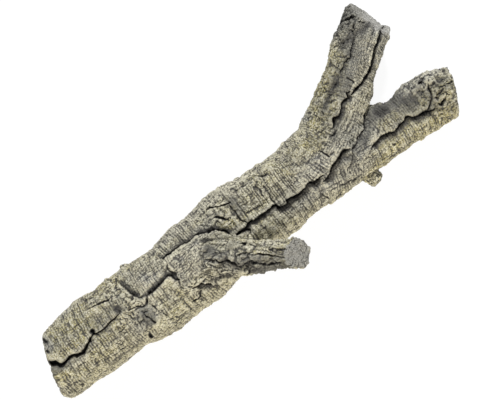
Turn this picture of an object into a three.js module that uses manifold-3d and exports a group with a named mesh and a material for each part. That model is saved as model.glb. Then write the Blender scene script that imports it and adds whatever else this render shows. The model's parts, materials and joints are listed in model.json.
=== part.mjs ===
// A fallen branch of a rough-barked tree, lying on the ground as it came to rest. Millimetres, +Z up.
// +X runs along the main stem from the butt to the fork, and the origin is on the ground under the
// middle of the whole branch. The wood grew in one piece and is split here at its forks: the main
// stem, its two limbs, the sawn side stub on the stem's back, and a short broken spur.
import * as THREE from "three";
import { mergeVertices } from "three/addons/utils/BufferGeometryUtils.js";
import Module from "manifold-3d";

const wasm = await Module();
wasm.setup();

// Every limb is a list of stations along its axis: [x, y, z, half width, half height].
// Where the half height is more than z, the underside is worn flat on the ground.
const STEM = [
  [-330, -44, 46, 43, 46],
  [-290, -44, 46, 46, 47.5],
  [-245, -42, 46, 48, 47.5],
  [-200, -40, 46, 48, 46],
  [-160, -42, 47, 51, 46.5],
  [-120, -41, 48, 51, 47],
  [-80, -38, 49, 53, 48],
  [-40, -34, 49, 51, 48],
  [0, -29, 48, 51, 47.5],
  [45, -28, 47, 46, 46],
  [85, -27, 46, 46.5, 47.5],
  [125, -24, 47, 48.5, 48.5],
  [155, -21, 47, 46, 47],
];
const LEFT_LIMB = [
  [95, -30, 48, 34, 40],
  [128, -14, 50, 38, 41],
  [163, 9, 49, 36, 39],
  [212, 49, 44, 32, 36],
  [247, 73, 39, 33.5, 38],
  [292, 101, 35, 36, 37],
];
const RIGHT_LIMB = [
  [105, -33, 44, 36, 40],
  [150, -37, 41, 37, 40],
  [195, -38, 38, 35.5, 37],
  [232, -42, 35, 33, 35],
  [262, -38, 35, 35.5, 36],
  [292, -43, 34.5, 34.5, 36],
  [335, -52, 33.5, 29.5, 34],
];
const SIDE_STUB = [
  [-92, -30, 62, 36, 30],
  [-68, -42, 76, 33, 28],
  [-42, -57, 90, 25, 24],
  [-14, -75, 104, 21, 21],
  [11, -89, 117, 19, 19.5],
  [47, -111, 134, 18.5, 19],
];
const SPUR = [
  [147, -48, 42, 13, 12],
  [154, -67, 43, 10, 10],
  [158, -75, 44, 9, 9],
  [161, -82, 45, 10, 10],
  [163, -87, 45.5, 7, 7],
];

// The saw cuts and the two fork joints: a point on each plane and the way its offcut side faces.
const BUTT_CUT = { at: [-303, -42, 46], facing: [-0.96, 0.26, 0.03] };
const LEFT_CUT = { at: [271.5, 88.4, 36], facing: [0.94, 0.31, 0.26] };
const RIGHT_CUT = { at: [305, -45, 34], facing: [0.93, -0.37, 0.03] };
const STUB_CUT = { at: [28, -98, 123], facing: [0.53, -0.3, 0.79] };
const FORK_JOINT = { at: [140, -30, 46], facing: [1, 0, 0] };
const CROTCH_JOINT = { at: [203, -3, 40], facing: [-0.5, 0.866, 0] };

const JOINT_GAP = 0.3;
const BARK_SWELL = 1.9;
const CUTTER_SIZE = 1200;

// The bark's broad swellings: a slow, uneven wave round and along a limb, in millimetres.
function swell(angle, along) {
  return (
    BARK_SWELL *
    (0.6 * Math.sin(3 * angle + along / 31) +
      0.5 * Math.sin(5 * angle - along / 19 + 1.3) +
      0.5 * Math.sin(2 * angle + along / 11 + 0.4))
  );
}

// A closed cylinder bent along the smooth axis through the stations, with an oval section.
function limb(stations, rings, sides, grow = 0) {
  const axis = new THREE.CatmullRomCurve3(stations.map(([x, y, z]) => new THREE.Vector3(x, y, z)));
  const sizes = new THREE.CatmullRomCurve3(stations.map(([, , , w, h]) => new THREE.Vector3(w, h, 0)));
  const geometry = new THREE.CylinderGeometry(1, 1, 1, sides, rings);
  const position = geometry.getAttribute("position");
  const up = new THREE.Vector3(0, 0, 1);
  const point = new THREE.Vector3();
  for (let i = 0; i < position.count; i++) {
    point.fromBufferAttribute(position, i);
    const t = THREE.MathUtils.clamp(point.y + 0.5, 0, 1);
    const angle = Math.atan2(point.z, point.x);
    const reach = Math.hypot(point.x, point.z);
    const tangent = axis.getTangent(t);
    const across = new THREE.Vector3().crossVectors(tangent, up).normalize();
    const upward = new THREE.Vector3().crossVectors(across, tangent).normalize();
    const size = sizes.getPoint(t);
    const centre = axis.getPoint(t);
    const bark = grow + swell(angle, centre.x + centre.y);
    point
      .copy(centre)
      .addScaledVector(across, reach * (size.x + bark) * Math.cos(angle))
      .addScaledVector(upward, reach * (size.y + bark) * Math.sin(angle));
    position.setXYZ(i, point.x, point.y, point.z);
  }
  return solidOf(geometry);
}

// A geometry with its shared corners merged, as a solid that can be joined and cut.
function solidOf(geometry) {
  geometry.deleteAttribute("normal");
  geometry.deleteAttribute("uv");
  const merged = mergeVertices(geometry, 1e-4);
  return new wasm.Manifold(
    new wasm.Mesh({
      numProp: 3,
      vertProperties: merged.getAttribute("position").array,
      triVerts: new Uint32Array(merged.index.array),
    }),
  );
}

// The half of space on the side that the plane faces, from `gap` beyond it, as one very large box.
function beyond({ at, facing }, gap = 0) {
  const box = new THREE.BoxGeometry(CUTTER_SIZE, CUTTER_SIZE, CUTTER_SIZE);
  const outward = new THREE.Vector3(...facing).normalize();
  box.translate(0, 0, CUTTER_SIZE / 2 + gap);
  box.applyQuaternion(new THREE.Quaternion().setFromUnitVectors(new THREE.Vector3(0, 0, 1), outward));
  box.translate(...at);
  return solidOf(box);
}

function meshOf(name, solid, material) {
  const { vertProperties, triVerts } = solid.getMesh();
  const geometry = new THREE.BufferGeometry();
  geometry.setAttribute("position", new THREE.BufferAttribute(vertProperties, 3));
  geometry.setIndex(new THREE.BufferAttribute(triVerts, 1));
  const mesh = new THREE.Mesh(geometry, material);
  mesh.name = name;
  return mesh;
}

// The stem and its two limbs are one mass of wood. `grow` swells it by the gap that its neighbours keep.
function forkedBody(grow = 0) {
  return limb(STEM, 42, 28, grow)
    .add(limb(LEFT_LIMB, 15, 22, grow))
    .add(limb(RIGHT_LIMB, 17, 22, grow));
}

const underground = beyond({ at: [0, 0, 0], facing: [0, 0, -1] });
const body = forkedBody().subtract(underground).subtract(beyond(BUTT_CUT));
const limbs = body.intersect(beyond(FORK_JOINT, JOINT_GAP));
const leftSide = beyond(CROTCH_JOINT, JOINT_GAP / 2);
const keptClear = forkedBody(JOINT_GAP);

const mainStem = body.subtract(beyond(FORK_JOINT));
const leftLimb = limbs.intersect(leftSide).subtract(beyond(LEFT_CUT));
const rightLimb = limbs.subtract(beyond(CROTCH_JOINT, -JOINT_GAP / 2)).subtract(beyond(RIGHT_CUT));
const sideStub = limb(SIDE_STUB, 12, 18).subtract(beyond(STUB_CUT)).subtract(keptClear);
const spur = limb(SPUR, 7, 10).subtract(keptClear);

const bark = new THREE.MeshStandardMaterial({ color: 0xa9a48e, roughness: 0.92, metalness: 0 });
const sawnBark = new THREE.MeshStandardMaterial({ color: 0x9b978a, roughness: 0.95, metalness: 0 });

const branch = new THREE.Group();
branch.add(
  meshOf("main_stem", mainStem, bark),
  meshOf("left_limb", leftLimb, bark.clone()),
  meshOf("right_limb", rightLimb, bark.clone()),
  meshOf("side_stub", sideStub, sawnBark),
  meshOf("spur", spur, bark.clone()),
);

// The origin goes to the middle of the branch's outline, on the ground.
const middle = new THREE.Box3().setFromObject(branch).getCenter(new THREE.Vector3());
branch.position.set(-middle.x, -middle.y, 0);

export default branch;
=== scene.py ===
import itertools
import json
import math

import bmesh
import bpy
import numpy as np
from mathutils import Matrix, Vector
from mathutils.bvhtree import BVHTree


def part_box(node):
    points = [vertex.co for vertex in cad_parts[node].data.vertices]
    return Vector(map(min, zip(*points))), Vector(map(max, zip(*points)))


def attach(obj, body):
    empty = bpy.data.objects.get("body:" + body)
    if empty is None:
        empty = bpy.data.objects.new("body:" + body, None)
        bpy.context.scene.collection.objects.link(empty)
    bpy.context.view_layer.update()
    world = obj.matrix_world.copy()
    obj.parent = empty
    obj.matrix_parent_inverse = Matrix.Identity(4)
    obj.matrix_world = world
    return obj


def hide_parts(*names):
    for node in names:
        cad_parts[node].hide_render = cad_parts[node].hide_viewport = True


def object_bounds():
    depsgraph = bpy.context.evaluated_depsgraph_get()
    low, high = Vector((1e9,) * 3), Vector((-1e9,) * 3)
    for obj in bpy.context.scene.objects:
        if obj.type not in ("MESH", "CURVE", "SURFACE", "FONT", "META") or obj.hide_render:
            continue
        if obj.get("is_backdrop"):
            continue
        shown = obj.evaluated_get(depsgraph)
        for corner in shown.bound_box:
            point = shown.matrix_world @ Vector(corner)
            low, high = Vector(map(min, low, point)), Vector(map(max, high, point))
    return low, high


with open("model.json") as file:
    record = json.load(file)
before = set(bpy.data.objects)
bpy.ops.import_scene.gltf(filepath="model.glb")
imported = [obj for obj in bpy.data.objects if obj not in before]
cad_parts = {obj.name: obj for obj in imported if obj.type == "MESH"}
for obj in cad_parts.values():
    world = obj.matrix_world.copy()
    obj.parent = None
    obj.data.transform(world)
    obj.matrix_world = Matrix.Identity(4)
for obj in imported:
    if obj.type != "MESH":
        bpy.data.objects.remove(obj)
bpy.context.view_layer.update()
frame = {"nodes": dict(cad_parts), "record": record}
scene = bpy.context.scene
MM = 0.001


# ---- The ground, the light and the camera ----------------------------------------------------------------
# A plain pale floor under a soft studio light from behind, with a weak warm light from the front. The camera
# looks straight down on the branch, turned so that the stem climbs from the lower left to the upper right.
EYE = Vector((0.01627, -0.01605, 1.784))
TURN = math.radians(-35)
BACK = Vector((-math.sin(TURN), math.cos(TURN), 0))


def node(tree, kind, inputs=None, **settings):
    """One shader node. Its inputs, by name or number, are numbers, colours or other nodes' outputs."""
    made = tree.nodes.new(kind)
    for key, value in settings.items():
        setattr(made, key, value)
    for key, value in (inputs or {}).items():
        if isinstance(value, bpy.types.NodeSocket):
            tree.links.new(value, made.inputs[key])
        else:
            made.inputs[key].default_value = value
    return made


def plain_material(name, colour, glow):
    material = bpy.data.materials.new(name)
    material.use_nodes = True
    shader = material.node_tree.nodes["Principled BSDF"]
    shader.inputs["Base Color"].default_value = (*colour, 1)
    shader.inputs["Roughness"].default_value = 0.9
    shader.inputs["Specular IOR Level"].default_value = 0.1
    shader.inputs["Emission Color"].default_value = (*colour, 1)
    shader.inputs["Emission Strength"].default_value = glow
    return material


def sun(name, towards, strength, colour, softness):
    lamp = bpy.data.lights.new(name, "SUN")
    lamp.energy, lamp.color, lamp.angle = strength, colour, math.radians(softness)
    holder = bpy.data.objects.new(name, lamp)
    holder.rotation_euler = towards.to_track_quat("Z", "Y").to_euler()
    scene.collection.objects.link(holder)


ground = bmesh.new()
bmesh.ops.create_grid(ground, x_segments=1, y_segments=1, size=4)
floor_mesh = bpy.data.meshes.new("floor")
ground.to_mesh(floor_mesh)
floor = bpy.data.objects.new("floor", floor_mesh)
floor_mesh.materials.append(plain_material("pale floor", (0.10, 0.10, 0.10), 9.2))
scene.collection.objects.link(floor)
floor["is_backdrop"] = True

sun("key light", BACK * 1.4 + Vector((0, 0, 1)), 3.05, (0.99, 0.99, 1.0), 8)
sun("front light", BACK * -1.7 + Vector((0, 0, 0.8)), 3.0, (1.0, 0.93, 0.78), 30)
scene.world = bpy.data.worlds.new("studio")
scene.world.use_nodes = True
scene.world.node_tree.nodes["Background"].inputs["Color"].default_value = (0.97, 0.985, 1.0, 1)
scene.world.node_tree.nodes["Background"].inputs["Strength"].default_value = 0.52
scene.view_settings.view_transform = "Standard"

camera = bpy.data.objects.new("camera", bpy.data.cameras.new("camera"))
camera.data.lens = 100
camera.data.sensor_width = 36
camera.data.clip_end = 20
camera.location = EYE
camera.rotation_euler = (0, 0, TURN)
scene.collection.objects.link(camera)
scene.camera = camera


# ---- The wood --------------------------------------------------------------------------------------------
# The branch grew as one piece, so its outside is first made as one closed skin over all the CAD solids. They
# are swollen until they meet, remeshed together and smoothed, apart from the sawn ends, which stay crisp.
SKIN_STEP = 1.0 * MM
SWELL = 0.4 * MM
SMOOTHING = 40
CUTS = [m for m in frame["record"]["mounts"] if m["name"] != "ground_rest"]
CUT_EDGE = 5 * MM
KNOBS = [(-160.5, 6, 56, 6.5), (57, -74, 45, 6), (237, -74, 38, 5), (277, 56, 34, 10)]
CUT_REACH = 62 * MM
# The ends: how softened the saw's edge is, how far the end is worn back unevenly and how far its rim has
# shrunk, in millimetres, and how pale the band beside it has gone.
ENDS = {
    "butt_face": (0.45, 6.0, 4.0, 0.0),
    "left_limb_face": (0.6, 4.0, 5.0, 0.85),
    "right_limb_face": (0.1, 2.5, 0.8, 0.1),
    "stub_face": (0.1, 1.2, 0.8, 0.1),
}
RIM_RADIUS = 36


def merged(cad_node):
    """A CAD solid's mesh with its shared corners merged."""
    shape = bmesh.new()
    shape.from_mesh(cad_node.data)
    bmesh.ops.remove_doubles(shape, verts=shape.verts, dist=1e-6)
    shape.normal_update()
    return shape


def coordinates(mesh, kind="vertices", field="co"):
    items = getattr(mesh, kind)
    values = np.empty(len(items) * 3)
    items.foreach_get(field, values)
    return values.reshape(-1, 3)


def steps(low, high, values):
    """Smooth rise from 0 at low to 1 at high."""
    share = np.clip((values - low) / (high - low), 0, 1)
    return share * share * (3 - 2 * share)


def settled(thing):
    """The thing's mesh with its modifiers applied, in place of the one it had."""
    bpy.context.view_layer.update()
    seen = thing.evaluated_get(bpy.context.evaluated_depsgraph_get())
    finished = bpy.data.meshes.new_from_object(seen)
    old = thing.data
    thing.modifiers.clear()
    thing.data = finished
    bpy.data.meshes.remove(old)


def beside_cut(points, cut):
    """How far points lie from a cut's plane, and 1 for those on this cut's own end of the branch."""
    away = points - np.array(cut["pos_m"])
    return away @ np.array(cut["axis"]), np.linalg.norm(away, axis=1) < CUT_REACH


together = bmesh.new()
for cad_node in frame["nodes"].values():
    solid = merged(cad_node)
    for vertex in solid.verts:
        vertex.co += vertex.normal * SWELL
    swollen = bpy.data.meshes.new("swollen")
    solid.to_mesh(swollen)
    together.from_mesh(swollen)
    bpy.data.meshes.remove(swollen)
for x, y, z, radius in KNOBS:
    place = Matrix.Translation(Vector((x, y, z)) * MM)
    bmesh.ops.create_icosphere(together, subdivisions=3, radius=radius * MM, matrix=place)
skin_mesh = bpy.data.meshes.new("skin")
together.to_mesh(skin_mesh)
skin = bpy.data.objects.new("skin", skin_mesh)
scene.collection.objects.link(skin)
remesh = skin.modifiers.new("one skin", "REMESH")
remesh.mode, remesh.voxel_size = "VOXEL", SKIN_STEP
settled(skin)

places = coordinates(skin.data)
free = np.ones(len(places))
for cut in CUTS:
    depth, near = beside_cut(places, cut)
    softened = ENDS[cut["name"]][0]
    loose = softened + (1 - softened) * steps(0, CUT_EDGE, -depth)
    free = np.where(near, np.minimum(free, loose), free)
group = skin.vertex_groups.new(name="free")
for level in range(1, 11):
    chosen = np.flatnonzero(np.round(free * 10) == level)
    group.add([int(i) for i in chosen], level / 10, "REPLACE")
smooth = skin.modifiers.new("soften", "SMOOTH")
smooth.factor, smooth.iterations, smooth.vertex_group = 0.5, SMOOTHING, "free"
settled(skin)


# ---- The bark --------------------------------------------------------------------------------------------
# Thick corky bark, split into plates by long seams. The grain runs along each limb. Growth ridges cross it
# every few millimetres, and short lengthwise cracks, pits and crumbling blocks break the plates up.
# Sizes here are millimetres. The plan of the seams and hollows is laid out as it is seen from eye height.
STEM_LINE = [(-345, -48, 46), (-250, -46, 48), (-120, -45, 50), (0, -33, 50), (85, -30, 48)]
LEFT_LINE = [(130, -15, 50), (165, 8, 48), (212, 47, 44), (300, 105, 36), (330, 124, 34)]
RIGHT_LINE = [(150, -40, 43), (200, -41, 40), (262, -42, 36), (350, -54, 34)]
STUB_LINE = [(-105, -26, 56), (-68, -45, 76), (-14, -78, 104), (47, -114, 134), (75, -131, 148)]
SPUR_LINE = [(140, -30, 42), (154, -70, 43), (163, -92, 46), (170, -110, 48)]
STEM_GIRTH, STUB_GIRTH, SPUR_GIRTH = 46, 20, 10
# The stem's grain parts along this line: the wood above it goes into the left limb, the rest into the right.
PARTING = [(60, -45), (108, -44), (121, -42), (140, -36), (156, -37), (165, -34), (182, -25), (194, -12)]
PARTING += [(203, -5), (335, 71)]

# Seams: lines of [x, y, width of the gap], with the gap's depth, and how much lower the bark is beside the
# gap on the line's right hand (or on its left, if less than zero) and over what distance that fades.
SEAMS = [
    # the butt's long split, and the cracks round it
    (7, 2.5, 9, [(-322, -34, 13), (-308, -39, 14), (-301, -44, 14), (-296, -49, 11), (-290, -50, 6),
        (-283, -47.5, 6), (-277, -48, 6), (-272, -52, 8), (-266, -52.5, 8), (-258, -49, 6), (-250, -45, 5),
        (-245, -42, 3), (-240, -40, 4), (-236, -43, 2.6), (-226, -42.5, 2.4), (-220, -41.5, 2.2),
        (-214, -40, 2), (-205, -39.5, 2), (-199, -38.5, 2)]),
    (1.4, 1.2, 8, [(-276, -18, 1.2), (-262, -19.5, 1.4), (-252, -18.5, 1.6), (-244, -19, 1.2)]),
    (1.4, 0, 1, [(-283, -15, 1.2), (-276, -15.5, 1.8), (-270, -14, 1.2)]),
    (3.5, -1, 6, [(-227, -12, 1.2), (-219, -14, 1.8), (-213, -14.5, 2.8), (-208, -15.5, 3.6),
        (-203, -17, 3.6), (-199, -17, 2)]),
    (2, 0, 1, [(-193, -43, 1.2), (-190, -50, 1.8), (-188, -57, 1.8)]),
    (2.5, 0, 1, [(-214, -61, 1.8), (-210, -59.5, 2.6), (-203, -57, 1.8)]),
    (2, 0, 1, [(-223, -68, 1.4), (-219, -73, 2.2), (-214, -71, 1.4), (-209, -69, 1.2)]),
    (2, 1, 7, [(-235, -79, 1.2), (-222, -78, 1.8), (-219, -78, 3), (-214, -79, 2.2), (-207, -79, 1.4),
        (-196, -76, 1)]),
    (1, 2, 8, [(-252, -86, 1.2), (-235, -84, 1.2), (-215, -83.5, 1.2), (-200, -85, 1.6),
        (-190, -83, 1.8)]),
    # where the stem's middle plate begins
    (3, -4.5, 12, [(-178, -2, 1.5), (-177, -12, 2.8), (-175, -20, 3.4), (-171, -30, 3.4), (-167, -37, 3),
        (-163, -39, 2)]),
    (4, 0, 1, [(-184, -42, 1.4), (-177, -43, 2.4), (-174, -46, 2.8), (-170, -49, 3.6), (-163, -48, 3.8),
        (-160, -44, 3)]),
    (4, -5.5, 12, [(-160, -44, 3), (-157, -41, 2.8), (-150, -41, 2.8), (-140, -39, 2.6),
        (-130, -37.5, 2.6), (-122, -35.5, 2.8), (-119.5, -38, 3), (-117, -44, 2.4), (-114, -47, 2)]),
    (3, 0, 1, [(-177, -57, 2), (-172, -56, 2.8), (-168, -56, 1.8)]),
    (3.5, 0, 1, [(-174, -58, 2.6), (-171, -66, 4), (-168, -75, 3)]),
    (2, 0, 1, [(-177, -59, 1.8), (-180, -62, 1.8), (-185, -63, 1.8), (-186, -70, 1.4), (-184, -80, 1.8)]),
    (3, 0, 1, [(-160, -50, 1.6), (-157, -64, 2.8), (-151, -76, 2)]),
    (1, 1.2, 7, [(-146, -67, 1.2), (-132, -66, 1.4), (-122, -65, 1.2)]),
    (1, 1.2, 7, [(-143, -85, 1.2), (-125, -84.5, 1.4), (-104, -85, 1.2)]),
    # the collar that swells round the foot of the side stub
    (4, -3.5, 11, [(-115, -14, 3.5), (-109, -12.5, 4), (-104, -12.5, 2.8), (-98, -11.5, 2.2),
        (-90, -10.5, 2.2), (-84, -11, 2.8), (-80, -13.5, 3.2), (-74, -13.5, 2.8), (-66, -11.5, 2.6),
        (-61, -12.5, 3)]),
    (3, -5, 12, [(-66, -11.5, 2.2), (-61, -12.5, 3), (-56, -16, 3.6), (-50, -19.5, 3.6), (-44, -20, 3.2),
        (-39, -23, 3.2), (-34, -29, 3.2), (-31, -35, 2.8), (-27, -40, 2.2)]),
    (3, 0, 1, [(-116, -2, 1.2), (-115, -14, 2), (-114, -22, 2.2), (-118, -28, 3.2), (-116, -34, 2.8),
        (-113, -38, 2.2), (-114, -46, 2.2), (-117, -53, 1.8), (-118, -60, 1.2)]),
    (1.8, 0, 1, [(-83, 10, 1), (-83, 0, 1.8), (-82, -9, 2.6)]),
    (4.5, 5, 10, [(-105, -66, 2), (-98, -67.5, 2.8), (-93, -65.5, 3.2), (-90, -69, 3.4), (-85, -72, 3),
        (-79, -76, 3.4), (-76, -75, 4.4), (-70, -73, 3.8), (-64, -74, 3.4), (-57, -74, 2.6)]),
    (4, 1.5, 6, [(-114, -80, 3), (-108, -79.5, 3.6), (-103, -77.5, 3.6), (-99, -74, 2.6)]),
    # the ragged hollow between the collar and the long plates
    (4, 1.5, 7, [(-36, 5, 3), (-30, 5, 4.5), (-26, 1, 4.5), (-20, -1, 3), (-12, -3, 3.4), (-6, -4, 3.4)]),
    (4.5, 0, 1, [(-34, -8, 3), (-28, -12, 7), (-23, -17, 5)]),
    (3.5, 0, 1, [(-38, -23, 3), (-32, -31, 4.5), (-29, -36, 4)]),
    (3, 2.5, 8, [(-5, 0, 1.4), (-8, -8, 2.2), (-7, -16, 2.2), (-8, -24, 2.6), (-6, -31, 3.4),
        (-3, -36, 3.4)]),
    (6, 0, 1, [(-22, -42, 3), (-14, -43, 6), (-8, -44, 8), (-5, -48, 5), (-7, -52, 3)]),
    # the grid of short cracks on the upper slab
    (1.4, 0.6, 4, [(1, -10, 1.2), (12, -10, 1.6), (30, -11, 1.2)]),
    (1.4, 0.6, 4, [(2, -15, 1.2), (14, -16.5, 1.4), (30, -16, 1.2)]),
    (1.4, 0.6, 4, [(3, -22, 1.2), (16, -21, 1.6), (30, -23, 1.2)]),
    (1.8, 0.8, 5, [(3, -26.5, 2), (10, -27, 2.2), (20, -28, 2.2), (30, -28, 1.4)]),
    (2, 0, 1, [(1, -4, 1.8), (1, -20, 2.2), (1, -36, 2.4)]),
    (1.4, 0, 1, [(10, -6, 1.2), (10, -36, 1.4)]),
    (1.4, 0, 1, [(22, -8, 1.2), (22.5, -36, 1.4)]),
    (2.4, 0, 1, [(32, -7, 2.6), (33, -15, 4), (33, -23, 3), (33, -34, 1.6)]),
    (4, 0, 1, [(39, -12, 2), (39.5, -22, 3), (39, -32, 3), (39.5, -39, 3)]),
    (3.5, 0, 1, [(36, 7, 1.6), (40, 4.5, 1.8), (43, 1.5, 2.8), (47, -0.5, 3.8), (52, -1.2, 2)]),
    (3, 0, 1, [(92.5, 20, 3), (92.5, 11, 2.8), (90, 5, 1.2)]),
    (2, 0, 1, [(97, 1, 2), (101, 4, 2.2)]),
    (3.5, 0, 1, [(121, -14, 1.6), (124, -18, 2.8), (127, -24, 3.2), (129, -29, 2.2)]),
    # the long overhang: the upper slab stands clear of the lower one from the stub to the fork
    (5, 6, 14, [(-20, -41.5, 3), (-14, -41, 3.5), (-8, -40, 4), (-3, -38, 4), (4, -37.5, 4),
        (5, -39.5, 3.2), (18, -39.5, 3.2), (28, -39, 3.2), (36, -38.5, 3.2), (40, -40, 3.6),
        (41, -44, 2.6), (45, -45.5, 1.8), (50, -47, 2.2), (53, -45.5, 2), (54, -43.5, 3.2), (60, -43, 3.2),
        (63, -44.5, 3.2), (70, -45, 3.2), (82, -44, 3.2), (84, -41.3, 3.2), (92, -41, 3.2),
        (95, -43.5, 3.2), (102, -43.5, 3.2), (109, -42.5, 3)]),
    (5, 7, 16, [(103, -51, 2), (110, -49, 3), (117, -46.5, 3.2), (121, -42, 3.2), (126, -39.5, 3.6),
        (133, -38, 3.8), (140, -35.5, 4.2), (144, -32, 4.8), (148, -31, 4.8), (152, -33.5, 3.8),
        (157, -35.5, 2.4)]),
    (2.5, 0, 1, [(67, -58, 1.8), (68, -66, 2.8), (70, -73, 1.8)]),
    (2.5, 0, 1, [(94, -61, 1.8), (95.5, -66, 3.2), (98, -71, 1.8)]),
    (1.5, 0, 1, [(72, -47, 1.2), (72, -58, 1.6)]),
    (1.5, 0, 1, [(62, -46, 1.2), (62, -57, 1.4)]),
    (1.5, 0, 1, [(84, -44, 1.2), (84.5, -56, 1.4)]),
    (2.5, 1.5, 6, [(121, -67, 3), (125, -69, 2.4), (134, -68.5, 2), (137, -70, 3), (145, -69.5, 2.6),
        (151, -69.5, 1.8)]),
    (1.4, 1, 6, [(64, -77, 1.2), (75, -76.5, 1.6), (88, -74.5, 1.2)]),
    (2.5, 0, 1, [(153, -58, 2), (151, -62, 2.8), (152, -67, 1.8)]),
    # the crotch line, from the stem's lower slab up between the two limbs
    (3, 2.5, 8, [(137, -57, 2.2), (143, -53.5, 2.6), (150, -48, 2.6), (155, -41, 2.8), (160, -36, 3.2),
        (166, -34, 2.8), (171, -29, 3.2), (177, -27, 3.4), (183, -25, 3), (188, -20, 3), (192, -14, 3),
        (198, -10, 3.4), (206, -4, 4)]),
    # the left limb
    (3, 0, 1, [(144, -9, 2.6), (148, -10, 3.8), (152, -8.5, 4.4), (155, -7, 2.4)]),
    (5, 6, 13, [(150, -1.5, 2.4), (154, 0, 4.2), (157, 4, 4.2), (160, 8.5, 4.2), (163, 8, 3.8),
        (168, 6.5, 3.8), (172, 9, 3.2), (176, 13, 3.2), (179, 18, 3.2), (184, 20, 3.2), (190, 20, 3.6),
        (192, 25, 4.8), (197, 24, 3.4)]),
    (6, 4, 8, [(197, 19.5, 4), (201, 20.5, 5), (206, 23, 6), (213, 24, 5), (220, 26, 5), (228, 28.5, 5),
        (233, 31, 5.5), (238, 34, 7), (244, 40, 8), (250, 45, 8), (256, 50, 8), (262, 54, 8), (268, 58, 7),
        (274, 61.5, 6), (284, 67, 6)]),
    (3, 0, 1, [(204, 39, 3), (206, 34, 2.8), (207, 30, 2.8)]),
    (3.5, 2.5, 9, [(199, 49, 2.2), (205, 52.5, 2.8), (212, 58, 3.4), (217, 60, 3.2), (220, 58, 2.8),
        (224, 62, 3.2), (228, 66, 3.2), (233, 71, 2.8), (238, 75, 2.2), (243, 78, 1.8)]),
    (2, 0, 1, [(194, 64, 2.4), (198, 63, 2.4), (201, 57, 1.8)]),
    (6, 0, 1, [(226, 104, 3), (233, 103, 6), (239, 100, 5), (246, 99, 4), (254, 100, 2.6)]),
    # the right limb
    (4.5, 5, 15, [(176, -52, 1.8), (180, -49.5, 3), (186, -47.5, 3.2), (192, -45.5, 3.6),
        (198, -44.5, 3.6), (202, -45, 3.2), (207, -47.5, 3.2), (213, -48.5, 3.2), (222, -47, 3.2),
        (230, -45, 3.2), (235, -42.5, 3.2), (239, -43.5, 3.2), (243, -47, 3.6), (248, -49.5, 3.8),
        (254, -50, 3.8), (260, -50.5, 4.2), (264, -54, 3.4), (271, -56, 2.6)]),
    (4.5, 0, 1, [(263, -52, 3), (268, -48.5, 3.6), (273, -45, 4.8), (277, -41, 4.4), (279, -36, 4.2),
        (280, -30, 3.6), (281, -26, 2.2)]),
    (4, 0, 1, [(279, -52, 2.2), (281, -56, 4.4), (286, -54, 3.4), (290, -52, 1.8)]),
    (3.5, 0, 1, [(283, -42.5, 2.6), (288, -43, 3.2), (295, -40.5, 2.2)]),
    (3.5, 0, 1, [(293, -36.5, 2.2), (299, -38, 3.2), (308, -40, 2.8)]),
    (1.6, 1.5, 7, [(183, -73, 1.2), (200, -72, 1.6), (216, -72.5, 1.6), (236, -74.5, 1.2)]),
    (1.4, 0, 1, [(160, -65.5, 1.6), (168, -64.5, 1.2)]),
]

# The same on the side stub.
STUB_SEAMS = [
    (4, 2.5, 9, [(-74, -50, 1.8), (-67, -50, 2.8), (-60, -52, 2.4), (-58, -57, 3.2), (-53, -60, 3.4),
        (-49, -63, 3.2), (-46, -69, 3.2), (-42, -74, 3.6), (-36, -77, 3.2), (-30, -77, 2.8),
        (-24, -81, 2.6)]),
    (3.5, 0, 1, [(-27, -54, 2), (-22, -56, 3.8), (-17, -60, 3.2), (-13, -66, 3.2), (-10, -70, 2)]),
    (3, 0, 1, [(-44, -60, 2), (-38, -64, 2.8), (-30, -66, 2.8), (-24, -70, 2.2), (-18, -73, 2)]),
    (3.5, 1, 5, [(-14, -77, 2), (-8, -82, 3.2), (-2, -87, 3.6), (3, -93, 3.2), (8, -99, 3.2),
        (12, -104, 2)]),
    (2.5, 0, 1, [(1, -79, 2), (8, -84, 2.8), (14, -88, 2.2), (20, -92, 1.6)]),
    (3.5, 0, 1, [(-26, -83, 3), (-18, -88, 3.2), (-13, -95, 3.6), (-6, -99, 3.2), (0, -103, 2.6)]),
    (3, 0, 1, [(-34, -80, 3), (-30, -85, 3.6), (-37, -88, 2.6)]),
]

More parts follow.
